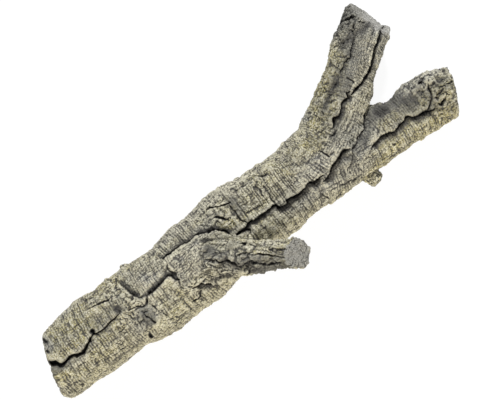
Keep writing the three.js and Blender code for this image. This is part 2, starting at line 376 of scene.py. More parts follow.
# Hollows: [x, y, half length, half width, turn in degrees, depth]; less than zero stands up as a knob.
HOLLOWS = [
    (-239.5, -37.5, 4, 3.6, 0, 6), (-198, -33, 5.5, 6, 0, 3), (-197, -37.5, 2.6, 2, 0, 2.5),
    (-183, -84.5, 3.2, 4, 0, 5), (-224, -1, 2.8, 1.8, 0, 3), (-217, -3, 3.8, 2.2, -20, 3),
    (-295, -11, 2.6, 8, 12, 4), (-300, -26, 2.4, 5, 12, 3.5), (-304, -42.5, 7, 5, -25, 6),
    (-157.5, 0, 2, 2, 0, 3), (-151.5, 1, 1.4, 1.8, 0, 2), (-287, -86, 2.4, 1.8, 0, 2.5),
    (-65, 8, 2, 2, 0, 2.5), (-93, -16, 1.8, 1.4, 0, 1.8), (-56, -20, 1.8, 1.8, 0, 2),
    (-104, -8, 5, 3, 0, -1.5), (-27, -30, 9, 8, 0, 1), (9, 17, 1.8, 1.4, 0, 2), (8, 4, 2, 1.4, 0, 2),
    (18, 3.5, 3, 1.8, 0, 2.5), (30, -6, 2, 2, 0, 2), (-14, -30, 2.4, 8, 0, -2), (148, -44, 7, 6, 20, 2),
    (244, 93, 2.6, 2, 0, 3), (248, 88, 2.6, 1.8, 0, 3), (258, 88, 2, 1.6, 0, 3), (261, 86, 2.4, 1.6, 0, 3),
    (247, 104, 2, 2, 0, 2.5), (252, 97, 2, 2, 0, 3), (243, 86, 2, 1.6, 0, 2.5), (255, 112, 2, 2, 0, 2.5),
    (224, 92, 3.2, 2, 30, 3), (236, 93, 2, 1.8, 0, 2), (196, 66, 4, 2.4, 30, 2.4),
    (140, 30, 2.4, 3, 0, 2.5), (135, 26, 2, 2, 0, 2), (275, -18, 4.6, 2.8, 0, 4.5),
    (270.5, -28.5, 2.8, 2, -30, 3), (307, -22, 2.2, 2.2, 0, 3), (204, -62, 2.8, 2.2, 0, 2.6),
]
STUB_HOLLOWS = [
    (-50, -54, 6, 3.4, -15, -2.5), (-37, -50, 6, 7, 0, -3.5), (-9, -88, 5, 6, 30, -3),
    (-20, -70, 5, 4, 0, -2), (20, -102, 8, 6, 0, 1),
]

# Troughs: [half width, depth] and the line down the middle; a depth less than zero is a fold standing up.
TROUGHS = [
    (9, 5, [(-54, -22), (-61, -31), (-68, -40), (-75, -50)]),
    (4, 1.5, [(70, -3), (82, -10), (92, -16), (106, -20)]),
    (3.2, -3, [(109, -44), (103, -51), (95, -55), (90, -61), (84, -72)]),
    (2.2, 1.2, [(116, -33), (140, -24), (165, -14), (190, 0)]),
    (2.2, 1.2, [(130, -20), (150, -13), (175, -2), (200, 12)]),
    (2.5, 1.2, [(150, -26), (170, -17), (190, -6)]),
    (7, 3.5, [(152, 20), (160, 25), (168, 31), (178, 37), (188, 43), (198, 49)]),
    (7, 3, [(212, 74), (225, 77), (245, 79), (262, 79), (270, 77)]),
    (12, 4, [(203, -14), (215, -20), (228, -20)]),
    (9, 2.5, [(240, -22), (252, -28), (264, -32)]),
    (2, -2, [(208, -22), (196, -33), (184, -45)]),
    (2, -2, [(201, -20), (190, -31), (181, -42)]),
    (2, -1.6, [(212, -27), (202, -37), (193, -44)]),
]
STUB_TROUGHS = [
    (4.5, -3, [(-30, -37), (-22, -44), (-14, -52), (-6, -59), (3, -67), (12, -76), (20, -83)]),
    (3, -1.8, [(-10, -64), (6, -76), (20, -88)]),
    (3, 1.5, [(6, -66), (14, -74), (20, -80)]),
]


def lattice(cells, seed):
    """A repeatable number from 0 to 1 for each cell of a lattice."""
    x, y, z = cells.astype(np.int64).T
    mixed = (x * 374761393 + y * 668265263 + z * 974634777 + seed * 144665) & 0xFFFFFFFF
    mixed = ((mixed ^ (mixed >> 13)) * 1274126177) & 0xFFFFFFFF
    return (mixed ^ (mixed >> 16)) / 0xFFFFFFFF


def uneven(points, size, seed):
    """Smooth noise from -1 to 1 whose bumps are about size apart, along each axis."""
    scaled = points / np.asarray(size, float)
    cell = np.floor(scaled)
    inside = scaled - cell
    inside = inside * inside * (3 - 2 * inside)
    total = np.zeros(len(points))
    for corner in itertools.product((0, 1), repeat=3):
        weight = np.prod(np.where(corner, inside, 1 - inside), axis=1)
        total += weight * lattice(cell + corner, seed)
    return total * 2 - 1


def plates(points, size, seed):
    """Uneven cells: a number for each point's cell, and how far the point is from the cell's edge."""
    scaled = points / np.asarray(size, float)
    cell = np.floor(scaled)
    nearest, second = np.full(len(points), 9.0), np.full(len(points), 9.0)
    name = np.zeros(len(points))
    for offset in itertools.product((-1, 0, 1), repeat=3):
        other = cell + offset
        centre = other + np.stack([lattice(other, seed + k) for k in (1, 2, 3)], axis=1)
        gap = np.linalg.norm(scaled - centre, axis=1)
        closer = gap < nearest
        second = np.where(closer, nearest, np.minimum(second, gap))
        name = np.where(closer, lattice(other, seed), name)
        nearest = np.where(closer, gap, nearest)
    return name, (second - nearest) * 0.5


def beaten_line(points, spacing=2.0, window=15):
    """A limb's middle line, evened out: places 2 mm apart and the distance along it."""
    points = np.array(points, float)
    run = np.concatenate([[0], np.cumsum(np.linalg.norm(np.diff(points, axis=0), axis=1))])
    along = np.arange(0, run[-1], spacing)
    line = np.stack([np.interp(along, run, points[:, k]) for k in range(3)], axis=1)
    padded = np.pad(line, ((window, window), (0, 0)), mode="reflect", reflect_type="odd")
    kernel = np.ones(2 * window + 1) / (2 * window + 1)
    line = np.stack([np.convolve(padded[:, k], kernel, "valid") for k in range(3)], axis=1)
    return line, along


def grain(points, line):
    """Where points lie in a limb's own terms: distance along it, across it and above it."""
    line, along = beaten_line(line)
    heading = np.gradient(line, axis=0)
    heading /= np.linalg.norm(heading, axis=1)[:, None]
    run = np.interp(points[:, 0], line[:, 0], along)
    for _ in range(4):
        middle = np.stack([np.interp(run, along, line[:, k]) for k in range(3)], axis=1)
        ahead = np.stack([np.interp(run, along, heading[:, k]) for k in range(3)], axis=1)
        run += ((points - middle) * ahead).sum(1)
    across = np.cross(ahead, (0, 0, 1))
    across /= np.linalg.norm(across, axis=1)[:, None]
    upward = np.cross(across, ahead)
    offset = points - middle
    return np.stack([run, (offset * across).sum(1), (offset * upward).sum(1)], axis=1)


def from_line(flat, line):
    """How a plan's points lie to a line: distance, hand, run along it, its length and its values there."""
    line = np.array(line, float)
    start, leg = line[:-1, :2], np.diff(line[:, :2], axis=0)
    length = np.linalg.norm(leg, axis=1)
    away = flat[:, None, :] - start
    share = np.clip((away * leg).sum(2) / length ** 2, 0, 1)
    gap = np.linalg.norm(away - share[..., None] * leg, axis=2)
    best = gap.argmin(1)
    rows = np.arange(len(flat))
    share, away, leg_here = share[rows, best], away[rows, best], leg[best]
    hand = np.sign(leg_here[:, 0] * away[:, 1] - leg_here[:, 1] * away[:, 0])
    run = np.concatenate([[0], np.cumsum(length)])
    values = line[best, 2:] + share[:, None] * (line[best + 1, 2:] - line[best, 2:])
    return gap[rows, best], hand, run[best] + share * length[best], run[-1], values


def notch(turns, width):
    """A narrow groove once a turn: 1 at its bottom and 0 beyond its width, which is a share of a turn."""
    return 1 - steps(0, width, np.abs(turns - np.round(turns)))


# How the bark breaks up: [x, y, half length, half width, turn in degrees, how crumbled from -1 for whole
# plates to 1, and how much the lengthwise fibres show in place of growth ridges].
PATCHES = [
    (-250, -20, 60, 24, 0, -1.0, 0), (-262, -70, 62, 20, 0, -1.0, 0), (-203, -64, 17, 14, 0, 0.1, 0.5),
    (-180, -50, 10, 28, 0, 0.8, 0), (-188, -8, 14, 18, 10, 0.4, 0), (-142, -18, 24, 24, 0, -1.0, 0.45),
    (-140, -62, 26, 18, 0, -1.0, 0.2), (-114, -42, 6, 32, 0, 0.8, 0), (-90, -30, 22, 20, 0, -0.7, 0.75),
    (-88, -66, 30, 8, 0, 0.9, 0), (-95, 0, 45, 10, 0, -0.9, 0), (-85, -86, 45, 9, 0, -0.8, 0),
    (-32, -8, 26, 20, -45, 0.9, 0), (16, -22, 18, 20, 0, -1.0, 0), (15, -58, 24, 18, 0, -1.0, 0),
    (-5, 15, 38, 7, 0, 0.3, 0), (68, -26, 30, 18, 0, -1.0, 0), (85, -60, 62, 16, 0, -1.0, 0),
    (60, 12, 30, 10, 0, -0.5, 0.3), (85, 2, 26, 8, -30, -0.1, 0.8), (112, -16, 20, 8, -20, -0.2, 0.8),
    (112, 14, 18, 12, 0, -0.5, 0), (165, -10, 48, 14, 35, -0.9, 0.95), (150, 20, 26, 14, 40, 0.4, 0),
    (182, 46, 36, 11, 40, 0.5, 0), (200, 30, 30, 7, 38, -0.4, 0.4), (232, 50, 36, 15, 32, -1.0, 0.95),
    (238, 92, 32, 13, 30, 0.9, 0), (264, 84, 14, 12, 30, -0.3, 0.6), (262, 60, 24, 8, 35, -0.9, 0.8),
    (218, -30, 38, 14, 0, -0.8, 0), (215, -62, 52, 13, 0, -1.0, 0), (283, -40, 20, 34, 0, 0.9, 0),
    (172, -50, 24, 14, 30, -0.6, 0.5), (200, -78, 62, 5, 0, -0.6, 0.8), (-200, -91, 110, 6, 0, -0.6, 0.8),
    (238, -10, 30, 7, 0, 0.2, 0),
]


# How far apart the bark's growth ridges, broad bands, lengthwise strips and fibres are.
RIDGE_STEP, BAND_STEP, STRIP_STEP, FIBRE_STEP = 3.3, 12.5, 7.5, 2.9


def grown_bark(terms, girth, seed, crumbled, fibrous):
    """The relief of all the bark, in millimetres, and the painted shade in its grooves, cracks and pits.
    Girth is the limb's radius.
    """

    def wave(size, k):
        return uneven(terms, size, seed + k)

    def cells(along, across, k):
        return lattice(np.stack([along, across, 0 * along], axis=1), seed + k)

    run, around = terms[:, 0], np.arctan2(terms[:, 1], terms[:, 2]) * girth
    drift = 3 * wave((60, 40, 40), 1) + 0.9 * wave(10, 2)
    sway = 4 * uneven(terms * (0.3, 1, 1), 14, seed + 7) + 1.2 * wave(5, 8)
    rough = steps(-0.25, 0.6, 0.5 * wave((34, 20, 20), 3) + 0.3 * wave(6, 4) + crumbled)
    calm = (1 - rough) * (1 - 0.85 * fibrous)
    ridge = (run + drift + 0.6 * wave(4, 5)) / RIDGE_STEP
    strip = (around + sway) / STRIP_STEP
    band = (run + 2.5 * drift + 5 * wave((17, 50, 50), 26)) / BAND_STEP
    fibre = (around + 0.8 * sway) / FIBRE_STEP
    ridges = notch(ridge, 0.5) * (0.2 + 0.8 * calm) * steps(-0.7, 0.1, wave((9, 12, 12), 6))
    ridges *= 0.35 + 0.75 * cells(np.round(ridge), np.floor(strip / 2), 25)
    bands = notch(band, 0.5) * calm * steps(-0.8, 0.1, wave((14, 26, 26), 9))
    fibres = notch(fibre, 0.5) * fibrous * steps(-0.6, 0.2, wave((16, 4, 4), 23))
    splits = notch(strip, 0.13) * steps(-0.1, 0.4, wave((16, 8, 8), 10))
    woven = cells(np.floor(ridge), np.floor(strip), 18) - 0.5
    plate, _ = plates(terms + 2.5 * wave(7, 11)[:, None], (36, 17, 17), seed + 12)
    warped = terms + 2.2 * np.stack([wave(4.5, k) for k in (41, 42, 43)], axis=1)
    chunk, rim = plates(warped, (10, 7, 7), seed + 30)
    crumb, _ = plates(warped, (4.6, 3, 3), seed + 20)
    pits = steps(0.3, 0.65, wave(2.3, 16)) * (0.35 + 0.65 * rough)
    gaps = (1 - steps(0.01, 0.12, rim)) * rough * steps(0, 0.4, wave(8, 22))
    relief = (
        2.2 * wave(34, 13) + 1.3 * wave(14, 17) + 0.7 * wave(6, 15)
        + 1.8 * (plate - 0.5) + 2.0 * (chunk - 0.5) * rough + (0.4 + 1.0 * rough) * (crumb - 0.5)
        + 0.45 * woven * calm + 0.5 * wave(2.5, 14) + 1.3 * rough * uneven(warped, 4, seed + 24)
        - 0.8 * bands - 1.0 * ridges - 0.9 * fibres - 0.9 * splits - 1.0 * pits - 1.2 * gaps
    )
    # Painted shade: the grooves of ridges, bands, fibres and splits, the pits and the gaps are darkened.
    dark = 0.42 * ridges + 0.16 * bands ** 2 + 0.36 * fibres + 0.34 * splits + 0.55 * pits + 0.25 * gaps
    return relief, np.clip(dark, 0, 0.7)


def blurred(values, pairs, rounds):
    """Values of a mesh's vertices, each averaged with its neighbours this many times."""
    ends, others = np.concatenate([pairs, pairs[:, ::-1]]).T
    count = np.bincount(ends, minlength=len(values)) + 1
    for _ in range(rounds):
        values = (values + np.bincount(ends, values[others], len(values))) / count
    return values


spots = coordinates(skin.data) / MM
outward = coordinates(skin.data, "vertex_normals", "vector")
pairs = np.empty(len(skin.data.edges) * 2, int)
skin.data.edges.foreach_get("vertices", pairs)
pairs = pairs.reshape(-1, 2)

# The stub and the spur are told from the forked stem by which CAD solid is nearest.
trees = {name: BVHTree.FromBMesh(merged(frame["nodes"][name])) for name in ("side_stub", "spur")}
forked = bmesh.new()
for name in ("main_stem", "left_limb", "right_limb"):
    forked.from_mesh(frame["nodes"][name].data)
body = BVHTree.FromBMesh(forked)
belongs = {}
for name, tree in trees.items():
    low, high = (np.array(corner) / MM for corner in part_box(name))
    nearer = np.zeros(len(spots))
    for i in np.flatnonzero(np.all((spots > low - 4) & (spots < high + 4), axis=1)):
        place = Vector(spots[i] * MM)
        nearer[i] = tree.find_nearest(place)[3] < body.find_nearest(place)[3]
    belongs[name] = blurred(nearer, pairs, 12)

on_stub = belongs["side_stub"] > 0.5

# The plan as it is seen from eye height, a little ruffled so that no line in it is straight.
REST_HEIGHT = 48
eye = np.array(EYE) / MM
plan = eye[:2] + (spots[:, :2] - eye[:2]) * (eye[2] - REST_HEIGHT) / (eye[2] - spots[:, 2:])
for k in range(2):
    plan[:, k] += 1.0 * uneven(spots, 6, 31 + k) + 0.5 * uneven(spots, 2.4, 41 + k)
facing_up = steps(-0.05, 0.25, outward[:, 2])
upper_side = steps(-0.8, -0.3, outward[:, 2])
frayed = 1 + 0.45 * uneven(spots, 5, 51) + 0.3 * uneven(spots, 11, 52)


def within(x, y, half_length, half_width, turn=0, power=4):
    """How far the plan's points are from a patch's middle, 1 at its edge. A high power squares it off."""
    away = plan - (x, y)
    c, s = math.cos(math.radians(turn)), math.sin(math.radians(turn))
    along, across = np.abs(away @ (c, s) / half_length), np.abs(away @ (-s, c) / half_width)
    return (along ** power + across ** power) ** (1 / power)


crumbled, fibrous = np.zeros(len(spots)), np.zeros(len(spots))
for x, y, half_length, half_width, turn, crumbling, fibres in PATCHES:
    share = (1 - steps(0.6, 1.25, within(x, y, half_length, half_width, turn))) * upper_side
    crumbled += share * (crumbling - crumbled)
    fibrous += share * (fibres - fibrous)

# The relief and the grain of each limb. They change over at the parting, which is the bark's longest seam.
parting = np.interp(spots[:, 0], [p[0] for p in PARTING], [p[1] for p in PARTING])
upper = spots[:, 1] > parting
terms = np.where(upper[:, None], grain(spots, STEM_LINE + LEFT_LINE), grain(spots, STEM_LINE + RIGHT_LINE))
relief, dark = grown_bark(terms, STEM_GIRTH, 100, crumbled, fibrous)
for name, line, girth, seed in (
    ("side_stub", STUB_LINE, STUB_GIRTH, 300),
    ("spur", SPUR_LINE, SPUR_GIRTH, 500),
):
    here = np.flatnonzero(belongs[name] > 0.01)
    own_terms = grain(spots[here], line)
    own_relief, own_dark = grown_bark(own_terms, girth, seed, crumbled=0.3, fibrous=0.4)
    if name == "side_stub":
        belongs[name][here] *= steps(44, 58, own_terms[:, 0] + 4 * uneven(own_terms, 9, 89))
    share = steps(0.1, 0.9, belongs[name][here])
    relief[here] += share * (own_relief - relief[here])
    dark[here] += share * (own_dark - dark[here])
    own = share > 0.5
    terms[here[own]] = own_terms[own]

# The stub's bark stands in knobbly blocks, longer than they are wide, with deep crevices between them.
here = np.flatnonzero(belongs["side_stub"] > 0.01)
warped = terms[here] + 3.5 * np.stack([uneven(terms[here], 7, 90 + k) for k in range(3)], axis=1)
block, crevice = plates(warped, (20, 11, 11), 95)
share = steps(0.1, 0.9, belongs["side_stub"][here])
groove = (1 - steps(0.01, 0.11, crevice)) * (0.4 + 0.6 * steps(-0.3, 0.3, uneven(terms[here], 9, 96)))
groove *= 0.25 + 0.75 * steps(-13, -3, terms[here][:, 1])
relief[here] += share * (3.8 * (block - 0.5) + 1.0 * np.minimum(crevice, 0.3) / 0.3 - 1.8 * groove)
# Painted shade in the crevices between the blocks, lighter on the flank that faces the key light.
dark[here] *= 1 - 0.5 * share * (1 - steps(-13, -3, terms[here][:, 1]))
dark[here] = np.maximum(dark[here], share * (0.5 * groove + 0.1 * (1 - steps(0.03, 0.25, crevice))))


def around_line(points, margin, marked):
    """The vertices of the marked part that are seen within the margin of a line."""
    flat = np.array(points, float)[:, :2]
    low, high = flat.min(0) - margin, flat.max(0) + margin
    return np.flatnonzero(np.all((plan > low) & (plan < high), axis=1) & (facing_up > 0) & marked)


# The plan's seams, hollows and troughs, on the upper side only. They are carved straight down, and painted
# shade darkens their gaps and bowls and the strip below each step.
carved = np.zeros(len(spots))
for marked, seams, hollows, troughs in (
    (~on_stub, SEAMS, HOLLOWS, TROUGHS),
    (on_stub, STUB_SEAMS, STUB_HOLLOWS, STUB_TROUGHS),
):
    for deep, drop, spread, line in seams:
        here = around_line(line, spread + 8, marked)
        gap, hand, run, length, width = from_line(plan[here], line)
        width = width[:, 0] * frayed[here]
        ends = steps(-0.1, 9, np.minimum(run, length - run))
        lower = hand * np.sign(drop or 1) < 0
        inner = np.where(lower | (drop == 0), gap, 1.7 * gap)
        groove = (1 - steps(0.1 * width, 0.55 * width, inner)) * np.clip(width / 2.5, 0.5, 1)
        sunk = abs(drop) * (1 - steps(0, spread, gap)) * ends * lower
        lip = 0.2 * abs(drop) * (1 - steps(0, 6, gap)) * ends * ~lower
        up = facing_up[here]
        carved[here] += up * (lip - sunk - deep * groove)
        # Painted shade: the strip below the step and the core of the gap are darkened.
        shade = 0.6 * min(abs(drop) / 5, 1) * (1 - steps(0, 0.9 * spread, gap)) * ends * lower
        core = (1 - steps(0.05 * width, 0.46 * width, inner)) * np.clip(width / 4.4, 0.25, 1)
        dark[here] = np.maximum(dark[here], up * np.maximum(core, shade + 0.4 * dark[here]))
    for x, y, half_length, half_width, turn, depth in hollows:
        here = around_line([(x, y)], max(half_length, half_width) + 4, marked)
        reach = within(x, y, half_length, half_width, turn, 2)[here] / np.sqrt(frayed[here])
        bowl = (1 - steps(0.35, 1.2, reach)) * facing_up[here]
        carved[here] -= depth * bowl
        # Painted shade in the hollow's bowl.
        if depth > 0:
            dark[here] = np.maximum(dark[here], bowl * min(0.95, depth / 5))
    for half_width, depth, line in troughs:
        here = around_line(line, half_width + 3, marked)
        gap, hand, run, length, _ = from_line(plan[here], line)
        ends = steps(-2, 8, np.minimum(run, length - run))
        bowl = (1 - steps(0, half_width * 1.3, gap)) * ends * facing_up[here]
        carved[here] -= depth * bowl
        # Painted shade in the trough.
        if depth > 0:
            dark[here] = np.maximum(dark[here], 0.5 * bowl * min(1, depth / 4) + 0.5 * dark[here])

# How the bark's colour varies, with painted light and shade laid in: [x, y, half length, half width, turn,
# how yellow, how dark]. Less than zero is greyer or paler. Some patches are the bark's own tone; others paint
# shade into hollows and over parts of the limbs, and paint light onto the upper and lower flanks and beside
# the stub, where the lamps leave too little light.
TINTS = [
    (-308, -51, 12, 7, 0, 0, 0.5), (-300, -62, 12, 12, 0, 0.8, -0.1), (-300, -50, 14, 8, 0, 0.8, 0),
    (-297, -13, 8, 16, 10, -1.5, 0.1), (-290, -20, 8, 20, 12, -0.6, 0.2), (-290, -60, 8, 16, 0, 0, 0.15),
    (-275, -51, 34, 6, 0, 0.4, 0.3), (-272, -30, 24, 16, 0, 1.0, 0.0), (-270, -20, 45, 20, 0, 0.6, 0.06),
    (-270, -68, 45, 18, 0, 0.45, 0), (-250, -22, 56, 20, 0, 0.4, 0), (-230, -52, 26, 8, 0, 0.8, 0.1),
    (-225, -86, 85, 12, 0, 0.8, -0.6), (-225, -88, 26, 7, 0, 0.6, -0.4), (-215, -30, 30, 11, 0, 0.1, 0.3),
    (-200, 0, 60, 10, 0, 0.45, 0), (-190, -38, 6, 8, 0, 0, 0.2), (-185, -6, 14, 12, 0, 0.6, -0.1),
    (-180, -74, 20, 20, 0, -0.8, 0.2), (-175, -57, 11, 15, 0, -0.6, 0.3), (-171, -64, 8, 14, 0, -0.4, 0.4),
    (-162, -58, 14, 14, 0, -0.5, 0), (-150, -38, 14, 6, 0, 0, -0.2), (-142, -20, 22, 20, 0, -0.4, 0),
    (-135, -92, 24, 8, 0, 0.3, -0.5), (-120, 0, 14, 14, 0, 0, -0.2), (-110, -89, 85, 12, 0, 1.5, -0.6),
    (-110, -8, 30, 12, 0, 0.4, -0.2), (-108, -50, 8, 11, 0, 0, 0.32), (-92, -32, 30, 24, 0, -0.6, 0),
    (-85, -70, 6, 16, 0, 0, -0.2), (-82, -62, 8, 10, 0, 0.3, -0.3), (-63, -38.5, 9.5, 8.5, 35, 0, 0.65),
    (-60, -17, 12, 6, 0, 0, -0.3), (-38, -6, 24, 6, 0, 0.2, 0.15), (-35, -5, 12, 7, 0, -0.6, 0),
    (-35, 14, 70, 6, 5, 0, -0.3), (-34, -50, 12, 6, 0, 0, 0.3), (-30, -84, 32, 14, -30, -0.6, 0.15),
    (-25, -29, 10, 9, 0, 0.4, 0.3), (-25, -27, 12, 7, 0, 0.6, -0.5), (-21, -75, 14, 9.5, -30, 0, 0.3),
    (-20, 12, 120, 7, 4, -0.3, -0.35), (-20, -90, 34, 12, -35, 0.3, 0.3), (-10, -108, 26, 9, -35, 0, 0.5),
    (-10, -55, 34, 8, -40, 0.2, 0.05), (-8, -88, 7, 6, 35, 1.2, -0.1), (-5, -62, 22, 10, 0, 0.7, -0.2),
    (-3, -13, 8, 16, 0, 0, 0.5), (8, -64, 22, 14, 0, 1.8, -0.9), (12, -63, 30, 16, 0, 1.8, -0.6),
    (12, -34, 24, 9, 0, 1.0, -0.25), (12, -80, 14, 6, -35, 0.7, 0), (14, -102, 34, 16, -35, 0.3, 0.2),
    (20, -62, 24, 12, 0, 0.8, -0.3), (22, -46, 18, 5, 0, 0.3, 0.2), (24, -68, 18, 9, 0, 0.5, -0.5),
    (34, -92, 12, 10, 0, 0.7, 0), (50, -18, 30, 12, 0, 0.5, -0.2), (50, -48, 16, 6, 0, 0, -0.4),
    (55, -44, 22, 9, 0, 0.4, -0.4), (55, 14, 40, 6, 0, 0, -0.4), (60, -74, 65, 9, 0, 0.7, -0.5),
    (70, -24, 14, 12, 0, 0, -0.25), (80, 14, 60, 9, 3, 0.6, -0.3), (95, -54, 50, 12, 0, -0.5, 0),
    (100, -38, 24, 7, 0, 0, -0.25), (105, -46, 45, 24, 0, -0.9, 0), (110, -15, 38, 16, 0, 0, 0.12),
    (115, 18, 18, 8, 15, 0, -0.4), (122, 2, 18, 18, 0, 1.2, 0), (125, -48, 24, 14, 0, -0.5, 0),
    (130, -48, 26, 14, 0, -0.9, 0.22), (138, 30, 11, 9, 0, -1.2, 0), (142, 12, 26, 16, 30, 0.2, 0.22),
    (150, 30, 30, 14, 35, 1.0, 0.05), (150, -34, 50, 26, 10, -0.8, 0), (152, -10, 12, 6, 30, 0, 0.3),
    (160, -84, 15, 12, 0, 1.6, -0.4), (166, -42, 26, 9, 25, -0.4, 0.3), (172, 40, 10, 9, 0, 0, -0.2),
    (172, -48, 12, 12, 0, 0, 0.2), (175, 25, 36, 18, 38, 0, 0.12), (175, -68, 28, 8, 0, -1.0, 0.05),
    (182, 46, 40, 17, 38, 1.6, 0.1), (182, -30, 14, 8, 35, 0, 0.3), (185, 44, 40, 12, 36, 0.6, 0),
    (190, -6, 20, 8, 35, 0, -0.3), (203, -14, 16, 7, 35, 0, 0.35), (205, 50, 70, 34, 35, 0, 0.12),
    (215, -58, 50, 10, 0, 0.6, 0), (215, -76, 30, 6, 0, 0.8, 0), (220, -74, 62, 10, 0, 2.0, -0.15),
    (220, 84, 16, 6, 20, 0.4, -0.3), (222, -18, 24, 9, 0, -0.8, 0.5), (224, 35, 32, 6, 35, -0.3, -0.1),
    (225, 57, 50, 13, 33, -0.6, 0.35), (226, -34, 34, 9, 0, 0.6, 0.25), (234, 103, 16, 7, 30, -0.6, 0.3),
    (240, 95, 30, 14, 30, -0.9, 0.45), (255, -42, 24, 10, 0, 0.6, 0), (255, -16, 34, 9, 0, -0.8, 0.3),
    (255, -45, 40, 14, 0, 0.6, 0), (256, 50, 20, 12, 35, -1.2, 0), (257, 112, 10, 9, 0, -0.6, 0.5),
    (258, 52, 24, 20, 20, -0.8, 0), (262, 60, 16, 20, 20, -1.0, 0.05), (262, 52, 22, 18, 20, -1.2, 0),
    (262, -40, 22, 20, 0, 0.2, 0.4), (262, -14, 40, 7, 0, -0.8, 0), (265, -60, 28, 12, 0, 0, 0.08),
    (270, -20, 26, 10, 0, 0, -0.2), (275, 75, 10, 26, -15, -1.0, -0.1), (275, -14, 36, 8, 0, -1.0, 0),
    (283, -55, 24, 22, 0, 0.9, 0.15), (298, -36, 12, 12, 0, 0.2, 0.3),
]
warm = 0.3 + 0.3 * uneven(spots, 45, 71) + 0.25 * uneven(spots, 12, 72)
dusky = 0.16 * uneven(spots, 24, 73) + 0.1 * uneven(spots, 9, 74)
for x, y, half_length, half_width, turn, yellow, darker in TINTS:
    share = (1 - steps(0.5, 1.3, within(x, y, half_length, half_width, turn))) * upper_side
    warm += 1.1 * yellow * share
    dusky += darker * share

# The ends. Bark moves only sideways there, and the sawn face is cut by dry radial cracks, or checks.
DRY_CHECKS = 9
sawn = np.zeros(len(spots))
worn = np.zeros(len(spots))
push = outward * relief[:, None]
push[:, 2] += carved
for cut in CUTS:
    _, eaten, shrunk, paleness = ENDS[cut["name"]]
    depth, near = beside_cut(spots * MM, cut)
    axis = np.array(cut["axis"])
    beside = near * (1 - steps(2 * MM, 6 * MM, -depth))
    push -= (beside * (push @ axis))[:, None] * axis
    face = beside * steps(0.55, 0.8, outward @ axis)
    turns = np.arctan2(terms[:, 1], terms[:, 2]) / math.tau
    out = np.hypot(terms[:, 1], terms[:, 2])
    checks = notch(turns * DRY_CHECKS + 0.5 * uneven(terms, 8, 81), 0.05) * steps(4, 16, out)
    checks *= uneven(terms * (0, 1, 1), 12, 82) > -0.2
    saw = 0.4 * uneven(spots, 2.2, 83) + 0.5 * uneven(spots, 7, 84) - 2.5 * checks
    push += (face * np.minimum(saw, 0.3))[:, None] * axis
    bitten = steps(-0.2, 0.8, uneven(spots, 16, 86) + 0.4 * uneven(spots, 5, 87)) * near
    bitten *= 1 - steps(0, 12 * MM, -depth)
    push -= (eaten * bitten)[:, None] * axis
    from_middle = spots - np.array(cut["pos_m"]) / MM
    from_middle -= (from_middle @ axis)[:, None] * axis
    closing = near * (1 - np.clip(-depth / (13 * MM), 0, 1)) ** 2
    push -= (shrunk * closing / RIM_RADIUS)[:, None] * from_middle
    speckle = 0.3 * steps(0.1, 0.6, uneven(spots, 1.7, 85))
    # On the sawn face the dark mark becomes painted shade in the checks, over a fine dark speckle of the
    # wood.
    dark = np.where(face > 0.5, np.maximum(0.8 * checks, speckle), dark)
    sawn = np.maximum(sawn, face)
    paleness = paleness * (1 - steps(0.15, 0.45, dusky))
    worn = np.maximum(worn, paleness * near * (1 - steps(1 * MM, 8 * MM, -depth)))
places = spots + push
places[:, 2] = np.maximum(places[:, 2], 0)
skin.data.vertices.foreach_set("co", (places * MM).ravel())
skin.data.update()

# What the materials read: the grain's own terms, and how far each kind of mark shows.
raised = relief + carved * np.maximum(outward[:, 2], 0)
nearby = blurred(raised, pairs, 14)
widely = blurred(nearby, pairs, 60)
marks = {
    # dark: painted shade in cracks, seams, hollows and troughs.
    "dark": dark,
    "sawn": sawn,
    "worn": worn,
    "warm": np.clip(warm, -1, 1.8),
    # dusky: painted shade and painted light from the tints, with darker and paler tone.
    "dusky": np.clip(dusky, -1, 1),
    "fibrous": np.clip(fibrous, 0, 1),
    # high: a painted highlight on bark raised above its neighbours, and painted shade where it lies low.
    "high": np.clip((raised - nearby) / 1.3, -1, 1) + 0.35 * np.clip(nearby - widely, -1, 1),
    **belongs,
}
grain_terms = skin.data.attributes.new("grain", "FLOAT_VECTOR", "POINT")
grain_terms.data.foreach_set("vector", (terms * MM).astype(np.float32).ravel())
for name, values in marks.items():
    mark = skin.data.attributes.new(name, "FLOAT", "POINT")
    mark.data.foreach_set("value", values.astype(np.float32))


# ---- Where the pieces part -------------------------------------------------------------------------------
# The skin is thinned and then parted at the fork and the crotch, on the CAD solids' own planes. The stub and
# the spur leave it where they grow out of it. Each piece is closed across its joints.
TRIANGLES = 310_000
thin = skin.modifiers.new("thin", "DECIMATE")
thin.ratio = TRIANGLES / (2 * len(skin.data.polygons))
settled(skin)

FORK = (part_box("main_stem")[1].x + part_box("left_limb")[0].x) / 2
CROTCH = Vector((202.7, -6.2, 40)) * MM
CROTCH_FACING = Vector((-0.5, 0.866, 0))
whole = bmesh.new()
whole.from_mesh(skin.data)
everything = whole.verts[:] + whole.edges[:] + whole.faces[:]
bmesh.ops.bisect_plane(whole, geom=everything, plane_co=(FORK, 0, 0), plane_no=(1, 0, 0))
limbs = [face for face in whole.faces if face.calc_center_median().x > FORK]
geometry = set(limbs) | {e for f in limbs for e in f.edges} | {v for f in limbs for v in f.verts}
bmesh.ops.bisect_plane(whole, geom=list(geometry), plane_co=CROTCH, plane_no=CROTCH_FACING)
layers = {name: whole.verts.layers.float[name] for name in trees}


def piece_of(face):
    for name, layer in layers.items():
        if sum(vertex[layer] for vertex in face.verts) > 0.5 * len(face.verts):
            return name
    middle = face.calc_center_median()
    if middle.x < FORK:
        return "main_stem"
    return "left_limb" if (middle - CROTCH).dot(CROTCH_FACING) > 0 else "right_limb"


names = list(frame["nodes"])
number = whole.faces.layers.int.new("piece")
for face in whole.faces:
    face[number] = names.index(piece_of(face))
    face.smooth = True


